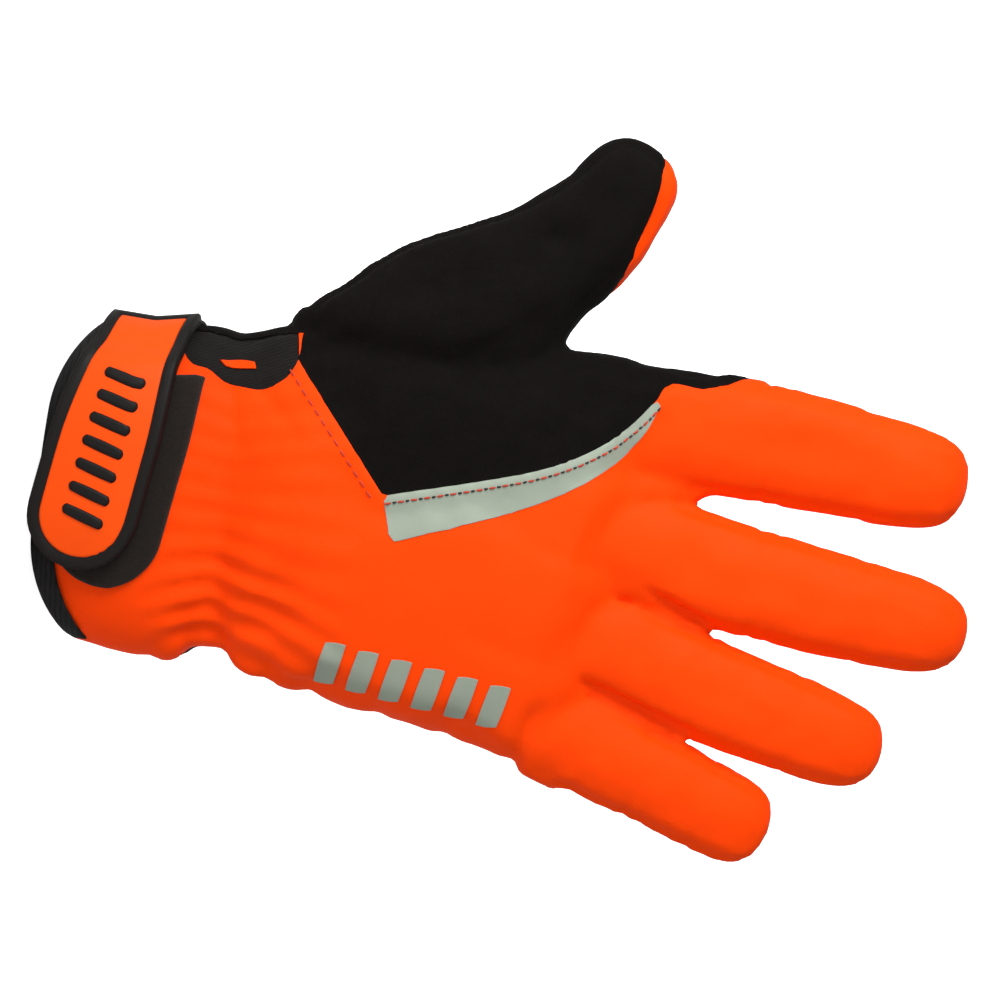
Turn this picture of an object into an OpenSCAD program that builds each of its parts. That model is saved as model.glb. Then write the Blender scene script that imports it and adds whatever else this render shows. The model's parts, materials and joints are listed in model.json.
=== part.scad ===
// Right-hand high-visibility work glove with a hook-and-loop wrist strap.
// Frame: origin at the centre of the cuff rim, +Z along the hand to the fingertips,
// -Y out of the back of the hand, +X to the little finger side. Units are millimetres.

/* [Cuff] */
// Width across the cuff rim
cuff_w = 86; // [82:1:88]
// Depth of the cuff from back to palm
cuff_d = 48; // [44:1:52]
// How far the rim rises from its flat front to its sides
rim_rise = 9; // [4:1:11]
// Height of the gathered waist above the rim
waist_z = 47; // [45:1:49]

/* [Shell] */
// Thickness of the outer fabric
shell_t = 1.6; // [1.2:0.1:1.8]
// Thickness of the fleece lining
lining_t = 1.0; // [0.6:0.1:1.2]

/* [Motion] */
// Largest fold across the knuckles, in degrees
knuckle_max = 65; // [30:5:70]
// Largest bend at a finger's middle joint, in degrees
finger_max = 85; // [45:5:90]
// Largest bend at a fingertip, in degrees
tip_max = 51; // [30:1:54]
// Largest swing of the thumb towards the palm, in degrees
thumb_max = 50; // [20:5:55]
// Largest bend at the thumb's tip, in degrees
thumb_tip_max = 60; // [30:5:65]

/* [Strap] */
// Width of the strap's free end
strap_w = 28; // [26:1:29]
// Reach of the strap past the middle of the back
strap_reach = 23; // [20:1:24]

/* [Hidden] */

orange = [1, 0.3, 0.02];
black = [0.09, 0.09, 0.09];
grey = [0.62, 0.66, 0.6];
fleece = [0.2, 0.2, 0.21];

round_body = 2.6;      // superellipse exponent of the hand's section
round_finger = 2.5;    // and of a finger's
joint_gap = 0.8;       // free length between two bodies at a hinge
lining_in = 3.2;       // depth of the lining's outer face below the shell's
overlay = 0.3;         // clearance under a piece that lies on the shell
side_back = 215;       // angle on a finger's section where the back fabric starts, radial side
side_palm = 145;       // and where the palm fabric ends
edge = 20;             // angle on the ulnar side where the back fabric meets the palm's
steps = 14;            // facets across one panel

// A section is [radial edge [x, z], ulnar edge [x, z], half depth, exponent, depth of its centre].
hand_secs = [
    [[-cuff_w / 2, 0], [cuff_w / 2, 0], cuff_d / 2, round_body, 0],
    [[-42.5, 22], [46.5, 22], 23.5, round_body, 0],
    [[-45.5, 36], [47, 36], 21.5, round_body, 0],
    [[-44.5, waist_z], [43.5, waist_z], 18.5, round_body, 0],
    [[-47, 60], [49, 60], 18.5, round_body, 0],
    [[-49.5, 85], [54, 83], 18, round_body, 0],
    [[-51.5, 112], [57, 104], 16.5, round_body, 0],
    [[-53, 147], [61.5, 128], 14, round_body, 0]];
WAIST = 3;             // index of the waist in hand_secs
FOLD = 7;              // index of the knuckle fold

knuckle_secs = [
    [[-53, 147], [61.5, 128], 14, round_body, 0],
    [[-52, 153.5], [65.5, 137.5], 12.2, 3, 0],
    [[-51.7, 160], [69, 147], 9, 4, 0]];

// The thumb's root, from the edge of the hand to the fold of the thumb, then on to its tip joint.
root_secs = [
    [[-42, 60], [-46, 130], 11, 4, 0],
    [[-49, 59.5], [-53, 133], 14, 3, 0],
    [[-55.5, 63.5], [-58.5, 135.5], 14.5, round_finger, 0],
    [[-61.5, 69.5], [-63.5, 137.5], 14, round_finger, 0]];
thumb_base_secs = [
    [[-61.5, 69.5], [-63.5, 137.5], 14, round_finger, 0],
    [[-73, 82], [-66, 139.5], 13.5, round_finger, 0],
    [[-82, 100], [-69.5, 142.5], 12.5, round_finger, 0],
    [[-90, 115], [-73.5, 145.5], 12, round_finger, 0],
    [[-98.6, 126], [-78.2, 148.6], 11.5, round_finger, 0]];
thumb_tip_point = [-111.5, 151.5];

// name, base centre, tip, base width, tip width, half depth, middle joint and tip joint from the base
FINGERS = [
    ["index",  [-35.5, 158.3], [-29.5, 248], 32, 27.5, 9.5, 31.8, 59.9],
    ["middle", [-1.6, 154.6],  [11.4, 253],  31, 25.5, 9.5, 38.7, 68.5],
    ["ring",   [26, 151.6],    [47, 234],    29, 24.5, 9,   31.4, 58.2],
    ["little", [53, 148.7],    [72.5, 206],  27, 23.5, 8.5, 20.4, 39.9]];

// ---- points on a section -------------------------------------------------------------------

function spow(c, p) = sign(c) * pow(abs(c), p);
function lerp(a, b, t) = a + (b - a) * t;
function half_of(s) = norm(s[1] - s[0]) / 2;
function across(s) = (s[1] - s[0]) / norm(s[1] - s[0]);
function along(s) = [-across(s)[1], across(s)[0]];

// A point at angle v: 0 is the ulnar edge, 90 the palm, 180 the radial edge and 270 the back.
function sec_pt(s, v, off, push = 0) =
    let (mid = (s[0] + s[1]) / 2, u = across(s), w = along(s), p = 2 / s[3],
         lat = max(half_of(s) - off, 0.3) * spow(cos(v), p),
         dep = max(s[2] - off, 0.3) * spow(sin(v), p))
    [mid[0] + u[0] * lat + w[0] * push, s[4] + dep, mid[1] + u[1] * lat + w[1] * push];

// The section at a fractional index of a list.
function sec_at(secs, f) =
    let (i = min(floor(f), len(secs) - 2), t = f - i, a = secs[i], b = secs[i + 1])
    [for (k = [0:4]) lerp(a[k], b[k], t)];

// The section of the cuff or hand whose radial edge is at height z.
function at_height(z, secs = hand_secs) =
    let (i = max([for (k = [0:len(secs) - 2]) secs[k][0][1] <= z ? k : 0]))
    sec_at(secs, i + (z - secs[i][0][1]) / (secs[i + 1][0][1] - secs[i][0][1]));

// Angles on a section's back or palm face at a distance x from the middle of the hand.
function back_angle(s, x) =
    let (c = (x - (s[0][0] + s[1][0]) / 2) / half_of(s))
    360 - acos(spow(max(-1, min(1, c)), s[3] / 2));
function palm_angle(s, x) = 360 - back_angle(s, x);

// How far a hinge cuts an end back: half the gap, and half the bend's wedge on the palm side.
function wedge(y, bend) = bend == 0 ? 0 : joint_gap / 2 + max(0, y) * tan(bend / 2);
// How far the cuff rim rises at a distance from the middle.
function rim(x) = rim_rise * pow(max(0, abs(x) - 16) / (cuff_w / 2 - 16), 2);

function listed(v, i) = is_list(v) ? v[i] : v;

// ---- solids --------------------------------------------------------------------------------

// A curved panel over several sections, between two angles and two depths below the surface.
// bend0 and bend1 are the hinges at its ends, hem lifts its first row clear of the rim tape,
// and tip closes the last section inwards.
module panel(secs, v0, v1, o0, o1, bend0 = 0, bend1 = 0, n = steps, hem = 0, tip = false) {
    m = len(secs);
    function push(i, y, x, off) =
        (i == 0 ? wedge(y, bend0) + (hem > 0 ? hem + rim(x) : 0) : 0)
        - (i == m - 1 ? wedge(y, bend1) + (tip ? off : 0) : 0);
    sheet([for (i = [0:m - 1], j = [0:n], o = [o0, o1])
        let (v = lerp(listed(v0, i), listed(v1, i), j / n), q = sec_pt(secs[i], v, o))
        sec_pt(secs[i], v, o, push(i, q[1], q[0], o))], m, n);
}

// A thick sheet: m rows of n + 1 columns, each point followed by the one on its inner face.
module sheet(pts, m, n) {
    function id(i, j, k) = (i * (n + 1) + j) * 2 + k;
    function quad(a, b, c, d) = [[a, b, c], [a, c, d]];
    faces = [
        for (i = [0:m - 2], j = [0:n - 1]) each concat(
            quad(id(i, j, 0), id(i + 1, j, 0), id(i + 1, j + 1, 0), id(i, j + 1, 0)),
            quad(id(i, j, 1), id(i, j + 1, 1), id(i + 1, j + 1, 1), id(i + 1, j, 1))),
        for (j = [0:n - 1]) each concat(
            quad(id(0, j, 0), id(0, j + 1, 0), id(0, j + 1, 1), id(0, j, 1)),
            quad(id(m - 1, j, 0), id(m - 1, j, 1), id(m - 1, j + 1, 1), id(m - 1, j + 1, 0))),
        for (i = [0:m - 2]) each concat(
            quad(id(i, 0, 0), id(i, 0, 1), id(i + 1, 0, 1), id(i + 1, 0, 0)),
            quad(id(i, n, 0), id(i + 1, n, 0), id(i + 1, n, 1), id(i, n, 1)))];
    polyhedron(points = pts, faces = faces, convexity = 6);
}

// One skin over all its children.
module joined() resize([0, 0, 0]) union() children();

// A closed sleeve over several sections, between two depths below the surface.
module sleeve(secs, o0, o1, bend0 = 0, bend1 = 0, n = 20, hem = 0, tip = false) {
    m = len(secs);
    function push(i, y, x, off) =
        (i == 0 ? wedge(y, bend0) + (hem > 0 ? hem + rim(x) : 0) : 0)
        - (i == m - 1 ? wedge(y, bend1) + (tip ? off : 0) : 0);
    // Round each angle: up the outside, then down the inside.
    rows = concat([for (i = [0:m - 1]) [i, o0]], [for (i = [m - 1:-1:0]) [i, o1]]);
    M = len(rows);
    pts = [for (a = [0:n - 1], r = rows)
        let (v = 360 * a / n, q = sec_pt(secs[r[0]], v, r[1]))
        sec_pt(secs[r[0]], v, r[1], push(r[0], q[1], q[0], r[1]))];
    function id(a, j) = (a % n) * M + (j % M);
    faces = [for (a = [0:n - 1], j = [0:M - 1]) each
        [[id(a, j), id(a, j + 1), id(a + 1, j + 1)], [id(a, j), id(a + 1, j + 1), id(a + 1, j)]]];
    polyhedron(points = pts, faces = faces, convexity = 6);
}

// ---- the hand ------------------------------------------------------------------------------

// Where the black saddle gives way to the orange back, by height.
saddle_low = [-40, 60];
saddle_corner = [-6, 88.7];
saddle_high = [-41, 159];
// The trim's edge sweeps up to the saddle's top with a growing slope.
function trim_edge(z) =
    let (t = (z - saddle_corner[1]) / (saddle_high[1] - saddle_corner[1]))
    saddle_corner[0] + (saddle_high[0] - saddle_corner[0]) * (0.5 * t + 0.5 * pow(t, 4));
function trim_low(z) =
    let (t = (z - 92.5) / (158 - 92.5))
    7.2 - 42 * (0.62 * t + 0.38 * pow(t, 5));
function saddle_edge(z) =
    z < saddle_corner[1]
        ? lerp(saddle_low[0], saddle_corner[0],
               (z - saddle_low[1]) / (saddle_corner[1] - saddle_low[1]))
        : trim_edge(z);

// The hand's sections above the waist, with more of them where the saddle's edge runs.
function fine(secs, from, to, n) = [for (k = [0:n]) sec_at(secs, lerp(from, to, k / n))];
cuff_secs = [for (i = [0:4]) hand_secs[i]];
upper_secs = fine(hand_secs, 4, FOLD, 9);
// Half the angle of the opening into the thumb's root, by the height of a section's radial edge.
function mouth(s) = 37 * max(0, min(1, (s[0][1] - 60) / 8, (140 - s[0][1]) / 12));
function edge_angle(s) = back_angle(s, saddle_edge(min(max((s[0][1] + s[1][1]) / 2, 60), 159)));

module back_panel() color(orange) joined() {
    panel(cuff_secs, 200, 360 + edge, 0, shell_t, hem = 1, n = 18);
    panel(upper_secs, [for (s = upper_secs) edge_angle(s)], 360 + edge, 0.1, shell_t + 0.1,
          bend1 = knuckle_max, n = 16);
}

module palm_panel() color(black) joined() {
    panel(cuff_secs, edge + 0.5, 160, 0, shell_t, hem = 1, n = 14);
    panel(upper_secs, edge + 0.5, [for (s = upper_secs) 179 - mouth(s)], 0.1, shell_t + 0.1,
          bend1 = knuckle_max, n = 14);
    panel(root_secs, 30, 179, 0, shell_t, bend1 = thumb_max);
}

module thumb_saddle() color(black) joined() {
    panel(upper_secs, [for (s = upper_secs) 181 + mouth(s)],
          [for (s = upper_secs) edge_angle(s) - 0.6], 0, shell_t, bend1 = knuckle_max);
    panel(root_secs, 181, 388, 0.1, shell_t + 0.1, bend1 = thumb_max, n = 18);
}

// The side of the wrist, seen through the vent in the back panel.
module wrist_gusset() color(black)
    panel([for (i = [0:3]) hand_secs[i]], 162, 198, 0.2, shell_t - 0.2, hem = 1, n = 6);

// The lining opens for the thumb a little wider than the shell.
module hand_lining() color(fleece) joined() {
    low = [for (i = [0:WAIST]) hand_secs[i]];
    high = fine(hand_secs, WAIST, FOLD, 12);
    open = [for (s = high) 37 * max(0, min(1, (s[0][1] - waist_z) / 9, (143 - s[0][1]) / 9))];
    sleeve(low, lining_in, lining_in + lining_t, hem = 1, n = 36);
    panel(high, [for (v = open) 181 + v], [for (v = open) 539 - v],
          lining_in - 0.1, lining_in + lining_t - 0.1, bend1 = knuckle_max, n = 30);
    sleeve(root_secs, lining_in, lining_in + lining_t, bend1 = thumb_max, n = 20);
}

module wrist_elastic() color(black)
    sleeve([sec_at(hand_secs, WAIST - 0.6), hand_secs[WAIST], sec_at(hand_secs, WAIST + 0.4)],
           shell_t + 0.3, lining_in - 0.3, n = 36);

// A folded tape round the rim, with the shell and the lining in its slot.
module cuff_binding() {
    n = 36;
    tape_t = 0.8;
    tape_out = 3;          // height of the tape on the outside
    tape_in = 7;           // and on the inside
    out = -0.5;
    in = lining_in + lining_t + 0.5;
    loop = [[out - tape_t, 0], [out - tape_t, tape_out], [out, tape_out], [out, tape_t],
            [in, tape_t], [in, tape_in], [in + tape_t, tape_in], [in + tape_t, 0]];
    M = len(loop);
    pts = [for (a = [0:n - 1], p = loop)
        let (v = 360 * a / n, s = at_height(p[1]), q = sec_pt(s, v, p[0]))
        [q[0], q[1], p[1] + rim(q[0])]];
    function id(a, j) = (a % n) * M + (j % M);
    color(black) polyhedron(points = pts, convexity = 8, faces = [for (a = [0:n - 1], j = [0:M - 1]) each
        [[id(a, j), id(a, j + 1), id(a + 1, j + 1)], [id(a, j), id(a + 1, j + 1), id(a + 1, j)]]]);
}

// A pad on the palm: a row of sections with a rounded outline.
module pad(z_mid, z_half, x_mid, x_half, o0, o1, n = 8, round = 0.35) {
    rows = [-1, -0.9, -0.6, 0, 0.6, 0.9, 1];
    secs = [for (t = rows) at_height(z_mid + t * z_half)];
    reach = [for (t = rows) x_half * lerp(1 - round, 1, sqrt(1 - t * t))];
    low = [for (i = [0:len(rows) - 1]) palm_angle(secs[i], x_mid + reach[i])];
    high = [for (i = [0:len(rows) - 1]) palm_angle(secs[i], x_mid - reach[i])];
    panel(secs, low, high, o0, o1, n = n);
}

module palm_pads() color(black) {
    pad(82, 19, 30, 15, -2.4, -overlay);
    pad(86, 21, -24, 16, -2.4, -overlay);
}

// The strap and its loop pad share one outline: a band that widens and ends in a half circle.
strap_z = 14.4;        // height of the centre of the strap's round end
strap_root_w = 23.2;   // width where it leaves the cuff's edge
strap_tilt = 0.15;     // rise of the strap's centre line towards its root
loop_lift = 1.5;       // thickness of the loop pad
loop_clear = 0.5;      // clearance under it
layer_gap = 0.45;      // clearance between the strap's layers
strap_flare = [-46, 36];   // where it starts to widen, and over what length
module strap_plate(o0, o1, grow = 0, reach = strap_reach, z_mid = strap_z, from = -60, n = 20) {
    half = strap_w / 2 + grow;
    root = strap_root_w / 2 + grow;
    end = reach + grow - half;          // centre of the half circle
    mid = at_height(z_mid);
    v0 = from < -cuff_w / 2 ? 181.5 : back_angle(mid, from);
    v1 = back_angle(mid, end);
    function flare(x) = let (t = max(0, min(1, (x - strap_flare[0]) / strap_flare[1]))) t * t * (3 - 2 * t);
    // Each column's angle, half width and centre, along the band and then round its end.
    columns = concat(
        [for (k = [0:n]) let (v = lerp(v0, v1, k / n), x = sec_pt(mid, v, 0)[0])
            [v, lerp(root, half, flare(x)), z_mid + strap_tilt * (end - x)]],
        [for (a = [20:20:80]) let (x = end + half * sin(a))
            [back_angle(mid, x), half * cos(a), z_mid + strap_tilt * (end - x)]]);
    rows = [-1, -0.67, -0.33, 0, 0.33, 0.67, 1];
    sheet([for (t = rows, c = columns, o = [o0, o1])
              sec_pt(at_height(max(0, c[2] + t * c[1])), c[0], o)],
          len(rows), len(columns) - 1);
}

module loop_pad() color(black)
    strap_plate(-loop_lift - loop_clear, -loop_clear, grow = -0.5, reach = strap_reach + 4,
                z_mid = strap_z + 5.6, from = -34);

module strap_root() color(black)
    panel([for (t = [-1, 0, 1]) at_height(strap_z + 8 + t * strap_root_w / 2)], 104, 172, -2.8, -1.6);

// ---- reflective pieces ---------------------------------------------------------------------

module trim_panel(secs, n = 6, bend0 = 0, bend1 = 0)
    panel(secs, [for (s = secs) let (z = trim_z(s)) back_angle(s, trim_edge(z))],
          [for (s = secs) let (z = trim_z(s)) back_angle(s, trim_low(z))],
          -0.8, -overlay, bend0 = bend0, bend1 = bend1, n = n);
// Height of a section's line where the trim crosses it.
function trim_z(s) = lerp(s[0][1], s[1][1], 0.32);

module reflective_trim() color(grey)
    trim_panel([for (k = [0:5]) sec_at(hand_secs, lerp(5.45, FOLD, k / 5))], bend1 = knuckle_max);

module trim_tip() color(grey)
    trim_panel([for (k = [0:3]) sec_at(knuckle_secs, lerp(0, 1.6, k / 3))], bend0 = knuckle_max);

// A row of plain slanted bars beside the little finger's knuckle.
module reflective_print() color(grey)
    for (k = [0:5]) {
        z = 79 + 9 * k;
        secs = [for (t = [0, 1]) sec_at(hand_secs, 4 + (z + 5.6 * t - 60) / 24)];
        panel(secs, [for (s = secs) back_angle(s, 35 + 1.1 * k)],
              [for (s = secs) back_angle(s, 46 + 1.1 * k)], -0.7, -overlay, n = 3);
    }

module size_label() color("white")
    translate([-9, hand_secs[1][2] - lining_in - lining_t - 1.6, 12]) cube([18, 0.4, 14]);

// ---- knuckles and fingers ------------------------------------------------------------------

function finger(name) = [for (f = FINGERS) if (f[0] == name) f][0];
function f_dir(f) = (f[2] - f[1]) / norm(f[2] - f[1]);
function f_len(f) = norm(f[2] - f[1]);
// A finger's section at distance s from its base; scale narrows it near the tip.
function f_sec(f, s, scale = 1) =
    let (d = f_dir(f), c = f[1] + d * s, side = [d[1], -d[0]],
         w = lerp(f[3], f[4], s / f_len(f)) / 2 * scale)
    [c - side * w, c + side * w, lerp(f[5], f[5] - 1.2, s / f_len(f)) * scale, round_finger, 0];
// Sections from s0 to s1, or on to the rounded tip.
function f_run(f, s0, s1, n = 3) = [for (k = [0:n]) f_sec(f, lerp(s0, s1, k / n))];
TIP = [[0, 1], [0.45, 1], [0.7, 0.93], [0.88, 0.73], [0.97, 0.4], [1, 0.06]];
LINING_TIP = [[0, 1], [0.4, 1], [0.6, 0.94], [0.74, 0.75], [0.8, 0.5]];
function f_tip(f, s0, shape = TIP) = [for (t = shape) f_sec(f, lerp(s0, f_len(f), t[0]), t[1])];

module knuckle_back_panel() color(orange) joined() {
    secs = fine(knuckle_secs, 0, 2, 4);
    panel(secs, [for (s = secs) s[0][1] < 157 ? back_angle(s, trim_edge(trim_z(s))) : 203],
          360 + edge, 0, shell_t, bend0 = knuckle_max, n = 20);
    for (f = FINGERS)
        panel(f_run(f, -1, f[6]), side_back, f[0] == "little" ? 360 + edge : 325, 0.15, shell_t + 0.15,
              bend1 = finger_max);
}

module knuckle_saddle() color(black) {
    secs = [for (k = [0:2]) sec_at(knuckle_secs, k * 0.7)];
    panel(secs, 181, [for (s = secs) back_angle(s, trim_edge(trim_z(s))) - 0.8], 0, shell_t,
          bend0 = knuckle_max, n = 8);
}

module knuckle_palm_panel() color(black) joined() {
    panel(knuckle_secs, edge + 1, 179, 0, shell_t, bend0 = knuckle_max, n = 20);
    for (f = FINGERS)
        panel(f_run(f, -1, f[6]), f[0] == "little" ? edge + 3 : 35, f[0] == "index" ? 205 : side_palm,
              0.15, shell_t + 0.15, bend1 = finger_max);
}

module knuckle_lining() color(fleece) joined() {
    sleeve([for (t = [0, 1, 1.5]) sec_at(knuckle_secs, t)], lining_in, lining_in + lining_t,
           bend0 = knuckle_max, n = 24);
    for (f = FINGERS)
        sleeve(f_run(f, 0.5, f[6], n = 1), lining_in + 0.15, lining_in + lining_t + 0.15,
               bend1 = finger_max, n = 16);
}

// The side strip between two fingers: down one finger's side, round the crotch, up the next.
module fourchette(a, b, crotch) {
    half_h = 5;
    depth = shell_t / 2 + 0.3;
    cut = wedge(half_h, finger_max) + shell_t / 2;
    // Side points of a finger, at its ulnar edge for a and its radial edge for b.
    function side(f, v, s) = let (q = sec_pt(f_sec(f, s), v, depth)) [q[0], q[2]];
    fa = finger(a);
    fb = finger(b);
    line = concat([for (t = [1, 0.5, 0]) side(fa, 0, lerp(crotch[0], fa[6] - cut, t))],
                  [for (t = [0, 0.5, 1]) side(fb, 180, lerp(crotch[1], fb[6] - cut, t))]);
    color(orange) translate([0, half_h, 0]) rotate([90, 0, 0]) linear_extrude(2 * half_h)
        for (i = [1:len(line) - 1]) hull() {
            translate(line[i - 1]) circle(shell_t / 2, $fn = 16);
            translate(line[i]) circle(shell_t / 2, $fn = 16);
        }
}
module fourchette_index_middle() fourchette("index", "middle", [8, 8]);
module fourchette_middle_ring() fourchette("middle", "ring", [17, 14.5]);
module fourchette_ring_little() fourchette("ring", "little", [5, 2]);

module finger_part(name, part) {
    f = finger(name);
    mid = f_run(f, f[6], f[7]);
    end = f_tip(f, f[7]);
    if (part == "mid_back") color(orange)
        panel(mid, side_palm + 2, side_palm + 248, 0, shell_t, bend0 = finger_max, bend1 = tip_max);
    if (part == "mid_palm") color(black)
        panel(mid, 35, side_palm, 0, shell_t, bend0 = finger_max, bend1 = tip_max, n = 8);
    if (part == "mid_lining") color(fleece)
        sleeve(mid, lining_in, lining_in + lining_t, bend0 = finger_max, bend1 = tip_max, n = 16);
    if (part == "tip_back") color(orange)
        panel(end, side_palm + 2, side_palm + 248, 0, shell_t, bend0 = tip_max, tip = true);
    if (part == "tip_palm") color(black)
        panel(end, 35, side_palm, 0, shell_t, bend0 = tip_max, n = 8, tip = true);
    if (part == "tip_lining") color(fleece)
        sleeve(f_tip(f, f[7], LINING_TIP), lining_in, lining_in + lining_t, bend0 = tip_max, n = 16);
}

// ---- thumb ---------------------------------------------------------------------------------

function thumb_end() =
    let (s = thumb_base_secs[4], c = (s[0] + s[1]) / 2, h = half_of(s), d = thumb_tip_point - c,
         dir = d / norm(d), side = [dir[1], -dir[0]])
    [for (t = TIP) let (p = c + d * t[0], w = lerp(h, h - 3, t[0]) * t[1])
        t[0] == 0 ? s
            : [p - side * w, p + side * w, lerp(s[2], s[2] - 1.5, t[0]) * t[1], round_finger, 0]];

module thumb_base_back() color(black)
    panel(thumb_base_secs, 170, 340, 0, shell_t, bend0 = thumb_max, bend1 = thumb_tip_max);
module thumb_base_palm() color(black)
    panel(thumb_base_secs, 30, 168, 0, shell_t, bend0 = thumb_max, bend1 = thumb_tip_max, n = 12);
module thumb_base_strip() color(orange)
    panel(thumb_base_secs, -18, 28, 0, shell_t, bend0 = thumb_max, bend1 = thumb_tip_max, n = 5);
module thumb_base_lining() color(fleece)
    sleeve(thumb_base_secs, lining_in, lining_in + lining_t, bend0 = thumb_max, bend1 = thumb_tip_max);
module thumb_tip_back() color(black)
    panel(thumb_end(), 170, 340, 0, shell_t, bend0 = thumb_tip_max, tip = true, n = 12);
module thumb_tip_palm() color(black)
    panel(thumb_end(), 30, 168, 0, shell_t, bend0 = thumb_tip_max, tip = true, n = 10);
module thumb_tip_strip() color(orange)
    panel(thumb_end(), -18, 28, 0, shell_t, bend0 = thumb_tip_max, tip = true, n = 5);
module thumb_tip_lining() color(fleece)
    sleeve(thumb_end(), lining_in, lining_in + lining_t, bend0 = thumb_tip_max, tip = true, n = 16);

// ---- strap ---------------------------------------------------------------------------------

// Each layer's inner face, from the hook patch outwards.
hook_o = -loop_lift - loop_clear - layer_gap;
band_o = hook_o - 0.8 - layer_gap;
backing_o = band_o - 1 - layer_gap;
tab_o = backing_o - 0.8 - layer_gap;
rib_o = tab_o - 0.8 - layer_gap;

module strap_band() color(black) strap_plate(band_o - 1, band_o);
module strap_hook() color(black)
    strap_plate(hook_o - 0.8, hook_o, grow = -2, from = -34);
module strap_backing() color(black) strap_plate(backing_o - 0.8, backing_o, grow = 0.4);
module strap_tab() color(orange)
    strap_plate(tab_o - 0.8, tab_o, grow = -2.6);
// Seven plain grip ribs across the tab.
module strap_ribs() color(black)
    for (k = [0:6]) {
        x = -29 + 6 * k;
        secs = [for (t = [-1, 1]) at_height(strap_z + strap_tilt * (9 - x) + 5.5 * t)];
        panel(secs, [for (i = [0, 1]) back_angle(secs[i], x + 2 * i)],
              [for (i = [0, 1]) back_angle(secs[i], x + 2 * i + 2)], rib_o - 0.6, rib_o, n = 2);
    }

// ---- one node at a time --------------------------------------------------------------------

back_panel();
palm_panel();
thumb_saddle();
cuff_binding();
wrist_gusset();
wrist_elastic();
hand_lining();
palm_pads();
loop_pad();
strap_root();
reflective_trim();
reflective_print();
size_label();
knuckle_back_panel();
knuckle_palm_panel();
knuckle_lining();
knuckle_saddle();
trim_tip();
fourchette_index_middle();
fourchette_middle_ring();
fourchette_ring_little();
for (f = FINGERS, p = ["mid_back", "mid_palm", "mid_lining", "tip_back", "tip_palm", "tip_lining"])
    finger_part(f[0], p);
thumb_base_back();
thumb_base_palm();
thumb_base_strip();
thumb_base_lining();
thumb_tip_back();
thumb_tip_palm();
thumb_tip_strip();
thumb_tip_lining();
strap_band();
strap_hook();
strap_backing();
strap_tab();
strap_ribs();
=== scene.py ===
"""A right-hand high-visibility work glove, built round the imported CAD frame.

Lengths are millimetres, in the frame's own axes, until a mesh is made: +Z along the
hand, -Y out of its back, +X to the little finger side.
"""
import json
import math

import bmesh
import bpy
import numpy as np
from mathutils import Matrix, Vector, noise
from mathutils.bvhtree import BVHTree


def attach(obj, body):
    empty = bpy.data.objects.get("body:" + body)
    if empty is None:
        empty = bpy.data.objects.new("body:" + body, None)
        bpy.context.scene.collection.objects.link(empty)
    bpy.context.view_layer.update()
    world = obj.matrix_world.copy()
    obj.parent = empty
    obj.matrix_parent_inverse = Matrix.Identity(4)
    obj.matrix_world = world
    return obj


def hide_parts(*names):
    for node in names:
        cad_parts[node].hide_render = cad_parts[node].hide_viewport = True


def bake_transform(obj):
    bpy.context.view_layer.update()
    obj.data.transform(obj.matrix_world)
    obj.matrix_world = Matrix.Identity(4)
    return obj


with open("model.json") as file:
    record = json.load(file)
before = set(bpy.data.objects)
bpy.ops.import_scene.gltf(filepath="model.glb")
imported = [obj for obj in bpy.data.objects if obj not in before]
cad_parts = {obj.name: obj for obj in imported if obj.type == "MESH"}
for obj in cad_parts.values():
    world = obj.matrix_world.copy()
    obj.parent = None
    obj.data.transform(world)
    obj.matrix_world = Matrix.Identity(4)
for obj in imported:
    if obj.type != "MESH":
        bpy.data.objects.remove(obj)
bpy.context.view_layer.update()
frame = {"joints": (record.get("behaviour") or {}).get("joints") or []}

MM = 0.001

# fabric
VOXEL = 1.7           # remesh size of the soft body
FABRIC = 0.9          # thickness given to each panel
FLEECE = 0.8          # thickness of the lining
FLEECE_IN = 1.6       # depth of the lining under the skin
GATHER_PITCH = 6.5    # from one gather of the wrist to the next
CREASE_FROM = 72      # x at which the ulnar creases start
CREASE_WIDTH = 2.6
SNAP = 0.15           # a point this close to a cut is moved onto it
FAR = 4.5             # an edge whose ends lie further off than this is never cut
CLOTH_PRESSURE = 4.0
CLOTH_SLACK = -0.03   # the panels are this share larger than the body
CLOTH_FRAMES = 16
CLOTH_CAP = 2.4       # the furthest that cloth may move a point

# cuff and waist
CUFF_W = 86.0
CUFF_EXPONENT = 2.6
RIM_RISE = 9.0
WAIST_Z = 47.0

# strap
STRAP_Z = 14.4        # height of the centre of the strap's round end
STRAP_END = 6.5       # centre of the end's half circle
STRAP_TILT = 0.15     # rise of the strap's centre line towards its root
STRAP_HALF = 14.4
STRAP_ROOT_HALF = 12.0
ROOT_Z = STRAP_Z + 8  # height of the strap's centre line on the palm side
MIDDLE_TURN = 270.7   # the turn at the middle of the back, in degrees round the cuff
STRAP_OUT = 4.0       # the strap's distance from the shell, where its length is measured
DRAW_IN = 3.0         # how far the strap's layers draw in beyond the loop patch
RIBS, RIB_PITCH, FIRST_RIB = 7, 5.9, -28.5

# reflective print and palm pads: x and z of a centre, and half sizes
BARS, BAR_AT, BAR_STEP = 6, (40.5, 81.5), (1.1, 9)
PADS = [(29.5, 82, 14.5, 18.5), (-24, 86, 15.5, 20.5)]

# half lengths over which the strap, the knuckles and the thumb's tip bend
STRAP_FOLD = 8
KNUCKLE_HALF = 15
TIP_HALF = 12
THUMB_X = -50.5       # where the thumb's pieces and its fold start
THUMB_REACH = 20      # length of that fold

# picture
CAMERA_FAR = 500.0
VIEW_WIDTH = 275.0    # width seen at the glove's middle
WORLD = 0.36          # the world's share of the light
GLOW = 0.9            # the backdrop's own light, for the camera alone
FLOOR_GAP = 0.2       # from the floor up to the cuff

JOINTS = {j["name"]: j for j in frame["joints"]}


# ---- small helpers

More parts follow.
